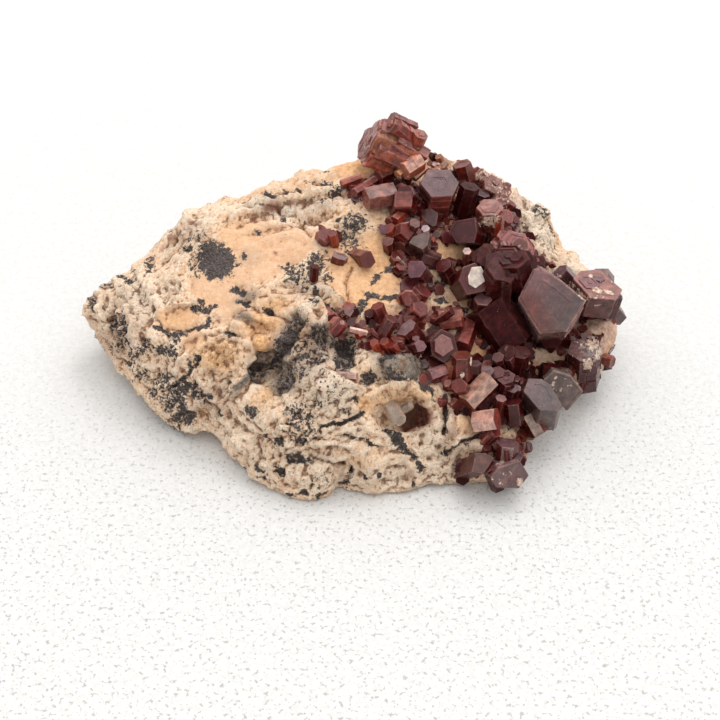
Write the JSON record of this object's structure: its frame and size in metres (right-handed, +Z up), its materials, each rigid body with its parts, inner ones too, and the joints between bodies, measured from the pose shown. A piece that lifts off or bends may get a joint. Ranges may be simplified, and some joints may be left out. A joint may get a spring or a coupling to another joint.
{
  "type": "vanadinite crystals on host rock",
  "caption": "Mineral specimen: pale dendrite-marked host rock with groups of short red-brown hexagonal vanadinite prisms grown on its upper side, lying on a flat broken underside",
  "frame": {"origin": "centre of the footprint's bounding box, on the resting plane", "axes": "+X to the right of the display side, along the longest extent; +Y to the rear; +Z up"},
  "size_m": [0.076, 0.0508, 0.0342],
  "materials": {
    "host_rock": "matte",
    "vanadinite": "polished",
    "clear_crystal": "polished"
  },
  "bodies": {
    "root": {"dark_lath_crystals": "vanadinite", "dark_needle_crystal": "vanadinite", "dark_upright_prism": "vanadinite", "flat_loose_crystal": "vanadinite", "flat_red_prism": "vanadinite", "foot_crystal_group": "vanadinite", "glinting_prism_pair": "vanadinite", "grey_hexagonal_prism": "vanadinite", "host_rock": "host_rock", "leaning_prism": "vanadinite", "lone_block_crystal": "vanadinite", "loose_crystal_pair": "vanadinite", "lower_twin_crystals": "vanadinite", "main_crystal_wall": "vanadinite", "pale_blade_crystal": "vanadinite", "pale_lath_crystal": "vanadinite", "pale_square_prism": "vanadinite", "pink_flake_crystal": "vanadinite", "pocket_clear_crystal": "clear_crystal", "pocket_clear_crystal_2": "clear_crystal", "rear_stepped_crystals": "vanadinite", "red_tip_crystal": "vanadinite", "rounded_red_crystals": "vanadinite", "small_pale_prism": "vanadinite", "small_red_crystal": "vanadinite", "small_upright_prism": "vanadinite", "summit_crystal_group": "vanadinite", "west_hexagonal_prism": "vanadinite", "west_small_prism": "vanadinite"}
  },
  "joints": []
}
